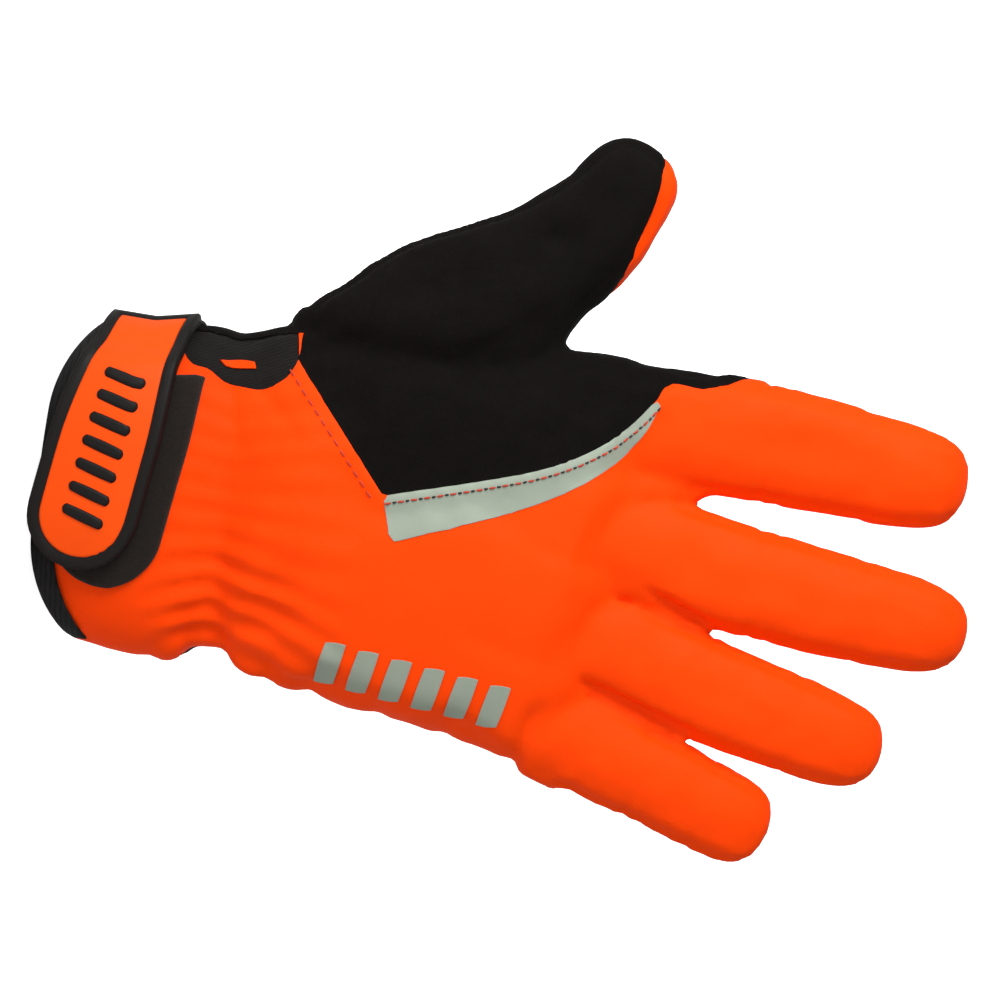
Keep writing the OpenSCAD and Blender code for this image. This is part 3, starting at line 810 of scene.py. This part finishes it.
MATERIALS = {name: make(name, *values) for name, make, *values in (
    ("orange_softshell", softshell),
    ("black_suede", suede, (0.0042, 0.0035, 0.003)),
    ("palm_pad_suede", suede, (0.009, 0.008, 0.0072), 0.8),
    ("reflective_film", film),
    ("black_webbing", ribbed, (0.0075, 0.0067, 0.006), (0.9, 0, 0.45), 0.9, 0.12),
    ("elastic_tape", ribbed, (0.012, 0.012, 0.012), (0, 0, 1), 1.4, 0.25),
    ("fleece_lining", pile, (0.035, 0.035, 0.038), 1.1),
    ("loop_fabric", pile, (0.011, 0.0075, 0.0055), 0.8),
    ("hook_fabric", ribbed, (0.012, 0.012, 0.012), (1, 0, 0), 1.1, 0.3),
    ("orange_rubber", rubber, (0.87, 0.074, 0.0), 0.5),
    ("black_rubber", rubber, (0.008, 0.0072, 0.0066), 0.5),
    ("label_fabric", ribbed, (0.62, 0.62, 0.6), (0, 0, 1), 0.5, 0.05),
    ("orange_thread", thread, (0.55, 0.035, 0.003)),
    ("black_thread", thread, (0.012, 0.009, 0.008)),
    ("grey_thread", thread, (0.03, 0.03, 0.03)),
)}


# ---- pieces

def fold(joint, body_a, body_b, low, high):
    """Where fabric turns at a joint: its two bodies, and the turn's start and end, from the pivot."""
    centre, out = joint_point(joint), joint_dir(joint)
    return body_a, body_b, centre + low * out, centre + high * out


def finger_fold(f, tip):
    if tip:
        low, high = max(f.s_high, f.s_end - 11), f.s_end + 11
        return f.name + "_mid", f.name + "_tip", f.at(low), f.at(high)
    low, high = max(f.s_low, f.s_mid - 12.5), min(f.s_high, f.s_mid + 12.5)
    return "knuckles", f.name + "_mid", f.at(low), f.at(high)


THUMB_FROM = joint_point("thumb_swing")[0] - THUMB_X
PEEL = joint_point("strap_peel")
FOLDS = {
    "hand": fold("knuckle_fold", "hand", "knuckles", -KNUCKLE_HALF, KNUCKLE_HALF),
    "thumb": fold("thumb_swing", "hand", "thumb_base", THUMB_FROM, THUMB_FROM + THUMB_REACH),
    "thumb_tip": fold("thumb_tip_bend", "thumb_base", "thumb_tip", -TIP_HALF, TIP_HALF),
    "strap_fold": ("hand", "strap", PEEL + [0, STRAP_FOLD, 0], PEEL - [0, STRAP_FOLD, 0])}
for f in GLOVE_FINGERS:
    FOLDS[f.name + "_root"] = finger_fold(f, False)
    FOLDS[f.name + "_tip"] = finger_fold(f, True)


def keep_rest(mesh):
    """Stores each point's place at rest, in millimetres, for the materials."""
    attribute = mesh.attributes.new("rest", "FLOAT_VECTOR", "POINT")
    attribute.data.foreach_set("vector", points_of(mesh).astype(np.float32).ravel())


def place(obj, slot_name, where, stands_for=(), material=None):
    """Gives a piece its material and attaches it to its body; where its place is a fold, its transform is
    baked in and it is left unattached.
    """
    obj.data.materials.clear()
    obj.data.materials.append(MATERIALS[material or slot_name])
    shade_smooth(obj.data)
    if "rest" not in obj.data.attributes:
        keep_rest(obj.data)
    if where in FOLDS:
        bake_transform(obj)
    else:
        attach(obj, where)
    if stands_for:
        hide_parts(*stands_for)
    return obj


def fabric(name, key, lift=0.0):
    """A panel of the skin as fabric, its outer face lifted off the skin."""
    v, faces, normals = panels[key]
    obj = make_object(name, v + normals * lift, faces)
    add_modifier(obj, "SOLIDIFY", thickness=FABRIC * MM, offset=-1.0, use_even_offset=False)
    freeze(obj)
    # the skin's own normals, so that light runs on from one panel to the next
    shade_smooth(obj.data)
    obj.data.normals_split_custom_set_from_vertices(np.vstack([normals, -normals]).tolist())
    return obj


def lining(name, region, depth, thickness, keep=None):
    """A layer inside one region of the skin, from all of that region's panels."""
    inside = [panel for (_, where), panel in panels.items() if where == region]
    verts, faces = joined((v, loops) for v, loops, _ in inside)
    verts, normals = np.array(verts), np.concatenate([n for _, _, n in inside])
    if keep is not None:
        faces = [loop for loop in faces if keep(verts[list(loop)].mean(axis=0))]
    obj = make_object(name, verts - normals * depth, faces)
    weld(obj, 0.05)
    add_modifier(obj, "DECIMATE", ratio=0.4)
    add_modifier(obj, "SOLIDIFY", thickness=thickness * MM, offset=-1.0, use_even_offset=False)
    return freeze(obj)


# ---- surfaces that pieces lie on: each maps two distances and a height off it to a point

def cuff(turn, z, out):
    """A point of the cuff; turn is 0 at the ulnar edge, 90 on the palm, 270 on the back."""
    rows = np.array(HAND[:5])
    x0, x1, depth = (np.interp(z, rows[:, 1], rows[:, i]) for i in (0, 2, 4))
    c = spow(np.cos(np.radians(turn)), 2 / CUFF_EXPONENT)
    s = spow(np.sin(np.radians(turn)), 2 / CUFF_EXPONENT)
    return np.stack([(x0 + x1) / 2 + ((x1 - x0) / 2 + out) * c, (depth + out) * s, z + 0 * c], axis=-1)


def measure_cuff():
    """Turns round the cuff, and how far each lies from the middle of the back along the strap."""
    turns = np.linspace(60, 350, 900)
    run = run_along(cuff(turns, STRAP_Z, STRAP_OUT))
    return turns, run - np.interp(MIDDLE_TURN, turns, run)


TURNS, RUN = measure_cuff()


def wrap(u, z, out):
    """Round the cuff: u is the distance from the middle of the back, towards the little finger.
    Beyond the loop patch the strap's layers draw in to the shell."""
    return cuff(np.interp(u, RUN, TURNS), z, out - DRAW_IN * smooth((-31 - u) / 12))


def round_at(y):
    """The u at which the radial side of the strap passes a depth y."""
    turns = np.linspace(100, 260, 1600)
    found = np.interp(-y, -cuff(turns, STRAP_Z, STRAP_OUT)[:, 1], turns)
    return np.interp(found, TURNS, RUN)


def on_skin(bvh, side):
    """The glove's back (side -1) or palm (side 1), by x and z."""
    def surface(x, z, out):
        x, z, out = np.broadcast_arrays(x, z, out)
        points = np.empty(x.shape + (3,))
        for i in np.ndindex(x.shape):
            start = Vector((x[i], side * 80, z[i])) * MM
            hit, normal, _, _ = bvh.ray_cast(start, Vector((0, -side, 0)))
            points[i] = np.array(hit + normal * float(out[i]) * MM) / MM
        return points
    return surface


# ---- slabs, bars and stitches laid on a surface

def rounded_grid(across, up, corner, n=13):
    """A grid over a rectangle whose corners round off as corner goes from 0 to 1."""
    t = np.sin(np.linspace(-math.pi / 2, math.pi / 2, n))
    a, b = np.meshgrid(t, t, indexing="ij")
    return across * a * np.sqrt(1 - corner * b * b / 2), up * b * np.sqrt(1 - corner * a * a / 2)


def strap_grid(start, half, root, end, mid, rows=29):
    """A strap that widens from root to half and ends in a half circle about end."""
    near = start + np.array([0, 0.3, 0.8, 1.5, 2.2, 2.9, 3.6, 4.6])
    u = np.concatenate([near, np.linspace(near[-1] + 1.5, end, int((end - start) / 2))])
    w = lerp(root, half, smooth((u + 46) / 36))
    turn = np.radians(np.linspace(7.5, 90, 12))
    u = np.concatenate([u, end + half * np.sin(turn)])
    w = np.concatenate([w, half * np.cos(turn)])
    t = np.sin(np.linspace(-math.pi / 2, math.pi / 2, rows))
    mid = mid + STRAP_TILT * (end - cuff(np.interp(u, RUN, TURNS), STRAP_Z, 0)[:, 0])
    return np.repeat(u[:, None], rows, axis=1), mid[:, None] + np.outer(w, t)


def border(rows, cols):
    """Indices of the points round a grid."""
    loop = [i * cols for i in range(rows)] + [(rows - 1) * cols + j for j in range(1, cols)]
    return loop + [i * cols + cols - 1 for i in range(rows - 2, -1, -1)] + list(range(cols - 2, 0, -1))


def edge_distance(u, z):
    """Distance of each point of a grid from the grid's outline."""
    loop = border(*u.shape)
    return np.maximum(outline_field(u, z, list(zip(u.ravel()[loop], z.ravel()[loop]))), 0)


def rounded(d, radius, low=0.3):
    """Height of a rounded edge, from low at the outline to 1 inside."""
    return low + (1 - low) * np.sqrt(1 - (1 - np.clip(d / radius, 0, 1)) ** 2)


def slab(u, z, surface, low, high):
    """A closed solid over a grid, between two heights off a surface."""
    rows, cols = u.shape
    verts = np.concatenate([surface(u, z, high + 0 * u).reshape(-1, 3),
                            surface(u, z, low + 0 * u).reshape(-1, 3)])
    size = rows * cols
    faces = []
    for i in range(rows - 1):
        for j in range(cols - 1):
            quad = (i * cols + j, (i + 1) * cols + j, (i + 1) * cols + j + 1, i * cols + j + 1)
            faces.append(quad)
            faces.append(tuple(k + size for k in reversed(quad)))
    loop = border(rows, cols)
    for a, b in zip(loop, loop[1:] + loop[:1]):
        faces.append((b, a, a + size, b + size))
    return verts, faces


def solid(name, parts):
    """One object from several (verts, faces), with its faces turned outwards."""
    obj = make_object(name, *joined(parts))
    weld(obj, 0.01, outwards=True)
    return obj


def turned(grid, angle, u0, z0):
    a, b = grid
    c, s = math.cos(angle), math.sin(angle)
    return u0 + a * c - b * s, z0 + a * s + b * c


def resample(path, places):
    path, run = np.array(path, float), run_along(path)
    return np.stack([np.interp(places, run, path[:, 0]), np.interp(places, run, path[:, 1])], axis=-1)


def stitches(name, path, surface, lift, length=2.3, gap=0.9, radius=0.28, first=0.0):
    """A row of thread spindles along a path on a surface; their ends dip into the fabric."""
    t = np.array([0, 0.1, 0.3, 0.7, 0.9, 1])
    girth = radius * np.array([0.3, 0.8, 1, 1, 0.8, 0.3])
    sides = 7
    turn = np.linspace(0, 2 * math.pi, sides, endpoint=False)
    parts = []
    for start in np.arange(first, run_along(path)[-1] - length, length + gap):
        at = resample(path, start + t * length)
        line = surface(at[:, 0], at[:, 1], lift * np.sin(math.pi * (0.1 + 0.8 * t)) - 0.08)
        above = surface(at[:, 0], at[:, 1], lift + 1.0)
        along = (line[-1] - line[0]) / np.linalg.norm(line[-1] - line[0])
        verts = []
        for c, g, up in zip(line, girth, above - line):
            side = np.cross(along, up)
            side /= np.linalg.norm(side)
            up = np.cross(side, along)
            verts += [c + g * (math.cos(a) * side + math.sin(a) * up) for a in turn]
        parts.append((verts, ring_faces(len(t), sides)))
    return solid(name, parts)


skin = build_skin()
rest = points_of(skin.data)
fields = compute_fields(rest)
shaped = swell(skin, rest, fields)
set_points(skin.data, shaped)
offset = folds(rest) + seams(rest, fields)
set_points(skin.data, shaped + read_points(skin.data, "normal") * offset[:, None])
panels = split_panels(skin.data, fields)

HAND_PIECES = [
    ("hand_back", "back", 0, "orange_softshell",
     ["back_panel", "knuckle_back_panel", "fourchette_index_middle", "fourchette_middle_ring",
      "fourchette_ring_little"]),
    ("hand_palm", "palm", 0, "black_suede", ["palm_panel", "knuckle_palm_panel"]),
    ("hand_saddle", "saddle", 0, "black_suede", ["thumb_saddle", "knuckle_saddle"]),
    ("hand_trim", "trim", 0.3, "reflective_film", ["reflective_trim", "trim_tip"]),
    ("wrist_vent", "vent", -0.6, "black_webbing", ["wrist_gusset"])]
for name, panel, lift, slot_name, nodes in HAND_PIECES:
    place(fabric(name, (panel, "hand"), lift), slot_name, "hand", nodes)
FINGER_PARTS = [(f"{f.name}_{part}", f"{f.name}_{node}") for f in GLOVE_FINGERS
                for part, node in (("root", "mid"), ("tip", "tip"))]
THUMB_PARTS = [("thumb", "thumb_base"), ("thumb_tip", "thumb_tip")]
for region, node in FINGER_PARTS + THUMB_PARTS:
    thumb = region.startswith("thumb")
    place(fabric(region + "_back", ("back", region)), "black_suede" if thumb else "orange_softshell",
          region, [node + "_back"])
    place(fabric(region + "_palm", ("palm", region)), "black_suede", region, [node + "_palm"])
    if thumb:
        place(fabric(region + "_strip", ("strip", region), 0.1), "orange_softshell", region,
              [node + "_strip"])
place(lining("hand_fleece", "hand", FLEECE_IN, FLEECE), "fleece_lining", "hand",
      ["hand_lining", "knuckle_lining"])
for region, node in FINGER_PARTS + THUMB_PARTS:
    place(lining(region + "_fleece", region, FLEECE_IN, FLEECE), "fleece_lining", region,
          [node + "_lining"])
place(lining("wrist_elastic_band", "hand", 1.0, 0.45, lambda c: abs(c[2] - WAIST_Z) < 5),
      "elastic_tape", "hand", ["wrist_elastic"])

skin_tree = BVHTree.FromPolygons([v.co for v in skin.data.vertices],
                                 [tuple(f.vertices) for f in skin.data.polygons])
glove_back, glove_palm = on_skin(skin_tree, -1), on_skin(skin_tree, 1)
bpy.data.objects.remove(skin)


# ---- cuff and strap

def binding():
    """A tape folded round the rim, with the shell and the lining in its slot."""
    # distance out from the shell and height above the rim's edge
    profile = [(0.35, 5.9), (0.75, 6.3), (1.15, 6.0), (1.35, 4.6), (1.4, 1.5), (1.0, 0.5), (0.2, 0.05),
               (-1.6, -0.1), (-3.2, 0.1), (-3.9, 0.8), (-4.1, 1.8), (-4.0, 6.4), (-3.6, 6.9),
               (-3.2, 6.4), (-3.1, 1.9), (-2.6, 1.1), (-1.6, 0.9), (-0.1, 1.0), (0.35, 1.8)]
    n = 180
    turns = np.linspace(0, 360, n, endpoint=False)
    rings = []
    for out, h in profile:
        wave = 0.18 * np.sin(np.radians(turns) * 31 + h) if h > 3 else 0
        ring = cuff(turns, max(h, 0), out + wave)
        ring[:, 2] = h + rim(ring[:, 0])
        rings.append(ring)
    return solid("cuff_tape", [(np.concatenate(rings), ring_faces(len(rings), n, closed=True))])


def loop_patch():
    """The fuzzy patch that the strap's hooks grip."""
    u, z = strap_grid(-34, 14, 12, 13, STRAP_Z + 5.6)
    d = edge_distance(u, z)
    fuzz = np.array([noise.noise(Vector((a / 1.7, b / 1.7, 0))) for a, b in zip(u.ravel(), z.ravel())])
    top = 0.4 + 1.5 * rounded(d, 1.2) + 0.22 * fuzz.reshape(u.shape)
    return solid("loop_patch", [slab(u, z, wrap, 0.35, top)])


def strap_layer(name, start, inset, low, thick, radius, rim_lift=0.0, crown=0.0):
    """A layer of the strap, inset from its widest outline; rim_lift raises a border round it."""
    half = STRAP_HALF - inset
    u, z = strap_grid(start + inset, half, STRAP_ROOT_HALF - inset, STRAP_END, STRAP_Z)
    d = edge_distance(u, z)
    top = low + thick * rounded(d, radius) + crown * smooth(d / 9)
    top += rim_lift * (1 - smooth((d - 2.7) / 0.8)) * smooth(d / 0.5)
    return solid(name, [slab(u, z, wrap, low, top)])


def rib(u0, z0):
    """A rounded grip rib across the strap's tab."""
    u, z = turned(rounded_grid(1.5, 5.6, 0.5, 11), math.radians(-12), u0, z0)
    return slab(u, z, wrap, 6.2, 6.6 + 0.7 * rounded(edge_distance(u, z), 0.8, 0))


def sewn(u, z, out):
    """The cuff's own surface, without the strap's draw-in."""
    return cuff(np.interp(u, RUN, TURNS), z, out)


def root_patch():
    """The end of the strap that is sewn to the palm side."""
    u, z = rounded_grid(15.5, 11.6, 0.25, 25)
    u = u + round_at(16) - 13
    top = 0.9 + 1.2 * rounded(edge_distance(u, z), 0.7)
    return solid("strap_anchor", [slab(u, z + ROOT_Z, sewn, 0.6, top)])


def box_path(u0, u1, z0, z1):
    """Round a box and once across it."""
    return [(u0, z0), (u1, z0), (u1, z1), (u0, z1), (u0, z0), (u1, z1)]


tab_start = round_at(-8)
ribs = [FIRST_RIB + k * RIB_PITCH for k in range(RIBS)]
place(binding(), "elastic_tape", "hand", ["cuff_binding"])
place(loop_patch(), "loop_fabric", "hand", ["loop_pad"])
place(root_patch(), "black_webbing", "hand", ["strap_root"])
place(strap_layer("strap_webbing", round_at(12), 0.4, 3.3, 1.3, 0.7), "black_webbing", "strap_fold",
      ["strap_band"])
place(strap_layer("strap_hooks", -34, 2.4, 2.3, 0.95, 0.4), "hook_fabric", "strap", ["strap_hook"])
place(strap_layer("strap_border", tab_start, 0, 4.7, 1.1, 0.9, rim_lift=0.95), "black_rubber", "strap",
      ["strap_backing"])
place(strap_layer("strap_inset", tab_start, 3.3, 5.5, 0.85, 0.7, crown=0.35), "orange_rubber", "strap",
      ["strap_tab"])
place(solid("strap_grip", [rib(u, STRAP_Z + STRAP_TILT * (STRAP_END - u)) for u in ribs]),
      "black_rubber", "strap", ["strap_ribs"])
place(stitches("strap_anchor_stitches", box_path(round_at(16) - 26, round_at(16) - 3, ROOT_Z - 9.5,
                                                 ROOT_Z + 9.5), sewn, 2.25), "black_webbing", "hand",
      material="grey_thread")


# ---- pieces sewn or printed on the glove

def pad(x0, z0, half_x, half_z):
    """A padded patch of suede, crowned and sewn down round its edge."""
    x, z = turned(rounded_grid(half_x, half_z, 0.75, 25), 0, x0, z0)
    d = edge_distance(x, z)
    top = 0.15 + 0.5 * rounded(d, 0.6) + 1.5 * smooth((d - 1.4) / 5)
    return slab(x, z, glove_palm, -0.1, top)


def oval_path(x0, z0, half_x, half_z, inset, n=60):
    """Round a pad, inset from its edge."""
    a = np.linspace(0, 2 * math.pi, n)
    return np.stack([x0 + (half_x - inset) * spow(np.cos(a), 0.72),
                     z0 + (half_z - inset) * spow(np.sin(a), 0.72)], axis=-1)


def bar(x0, z0):
    """One slanted bar of the reflective print, by its centre."""
    a, b = rounded_grid(5.8, 2.9, 0.2, 19)
    z = z0 + b - 0.22 * a
    return slab(x0 + a, z, glove_back, -0.1, 0.5)


place(solid("palm_patches", [pad(*p) for p in PADS]), "palm_pad_suede", "hand", ["palm_pads"])
for i, p in enumerate(PADS):
    place(stitches(f"palm_patch_stitches_{i + 1}", oval_path(*p, 1.3), glove_palm, 0.85), "palm_pad_suede",
          "hand", material="grey_thread")
bars = [bar(BAR_AT[0] + k * BAR_STEP[0], BAR_AT[1] + k * BAR_STEP[1]) for k in range(BARS)]
place(solid("print_bars", bars), "reflective_film", "hand", ["reflective_print"])


def shifted(path, distance):
    """A path moved sideways, to the left of its direction when distance is positive."""
    path = np.array(path, float)
    d = np.gradient(path, axis=0)
    d /= np.linalg.norm(d, axis=1, keepdims=True)
    return path + distance * np.stack([-d[:, 1], d[:, 0]], axis=-1)


low_edge = [SADDLE_LOW, SADDLE_CORNER]
hem = resample(low_edge, np.linspace(0.5, run_along(low_edge)[-1], 40))
place(stitches("hem_stitches", shifted(hem, -3.0), glove_back, 0.3), "orange_softshell", "hand",
      material="orange_thread")
trim_seam = shifted(curve(SADDLE_EDGE[:6], 60), -2.1)
place(stitches("trim_stitches_orange", trim_seam, glove_back, 0.75, 1.9, 1.6),
      "orange_softshell", "hand", material="orange_thread")
place(stitches("trim_stitches_black", trim_seam, glove_back, 0.7, 1.2, 2.3, first=2.1),
      "black_suede", "hand", material="black_thread")


def size_tag():
    """A blank woven tag sewn inside the cuff, on the palm side."""
    a, b = rounded_grid(9, 7, 0.1, 11)
    depth = 19.2 - 0.012 * a * a - 0.3 * smooth((4 - b) / 8)
    top = np.stack([a, depth, 19 + b], axis=-1)

    def surface(u, z, out):
        return top - np.array([0, 1, 0]) * np.asarray(out)[..., None]

    return solid("blank_tag", [slab(a, b, surface, 0.0, 0.35)])


place(size_tag(), "label_fabric", "hand", ["size_label"])


# ---- stage, light and camera

def by_camera(tree, seen, otherwise):
    """A strength with one value for the camera's own rays and another for all light."""
    rays = tree.nodes.new("ShaderNodeLightPath").outputs["Is Camera Ray"]
    strength = setup(tree.nodes.new("ShaderNodeMath"), operation="MULTIPLY_ADD")
    return feed(tree, strength, {0: rays, 1: seen - otherwise, 2: otherwise}).outputs[0]


def stage():
    """A pale floor that sweeps up into a backdrop."""
    r, back, front, wide, top = 250, 450, -1600, 2200, 2200
    sweep = [(back - r + r * math.sin(a), r - r * math.cos(a)) for a in np.linspace(0, math.pi / 2, 13)]
    line = [(front, 0)] + sweep + [(back, top)]
    verts = [(x, y, z - FLOOR_GAP) for y, z in line for x in (-wide, wide)]
    faces = [(2 * i, 2 * i + 1, 2 * i + 3, 2 * i + 2) for i in range(len(line) - 1)]
    floor = make_object("floor", verts, faces)
    shade_smooth(floor.data)
    # the backdrop glows a little for the camera alone, so that it reads as white
    s = Shader("pale_floor", (0.92, 0.92, 0.92), 0.9, Emission_Color=(1, 1, 1, 1))
    feed(s.tree, s.bsdf, {"Emission Strength": by_camera(s.tree, GLOW, 0)})
    # from behind it is clear, so that it never hides the glove
    behind = s.node("NewGeometry", {}).outputs["Backfacing"]
    clear = s.node("BsdfTransparent", {}).outputs[0]
    mix = s.node("MixShader", {0: behind, 1: s.bsdf.outputs[0], 2: clear})
    feed(s.tree, s.tree.nodes["Material Output"], {"Surface": mix.outputs[0]})
    floor.data.materials.append(s.mat)


def area_light(name, place_mm, target_mm, size, watts):
    obj = add_object(name, setup(bpy.data.lights.new(name, "AREA"), size=size, energy=watts))
    obj.location = Vector(place_mm) * MM
    obj.rotation_euler = (Vector(target_mm) * MM - obj.location).to_track_quat("-Z", "Y").to_euler()


def lights():
    world = bpy.data.worlds.new("studio")
    world.use_nodes = True
    # dimmer for lighting than for the camera, which sees it as white
    tree = world.node_tree
    feed(tree, tree.nodes["Background"], {"Color": (1, 1, 1, 1), "Strength": by_camera(tree, 1, WORLD)})
    bpy.context.scene.world = world
    centre = (-9, 0, 120)
    area_light("key", (-480, -430, 300), centre, 0.35, 4.4)
    area_light("fill", (260, -620, 330), centre, 0.8, 0.9)
    bpy.context.scene.view_settings.view_transform = "Standard"


def camera():
    """Looks along +Y at the back of the hand, turned so that the fingers point right."""
    data = setup(bpy.data.cameras.new("camera"), sensor_width=36, lens=36 * CAMERA_FAR / VIEW_WIDTH)
    obj = add_object("camera", data)
    roll = math.radians(8)
    right = Vector((-math.sin(roll), 0, math.cos(roll)))
    up = Vector((-math.cos(roll), 0, -math.sin(roll)))
    back = right.cross(up)
    turn = Matrix((right, up, back)).transposed().to_4x4()
    obj.matrix_world = Matrix.Translation(Vector((-8.9, -CAMERA_FAR, 120.6)) * MM) @ turn
    bpy.context.scene.camera = obj


stage()
lights()
camera()
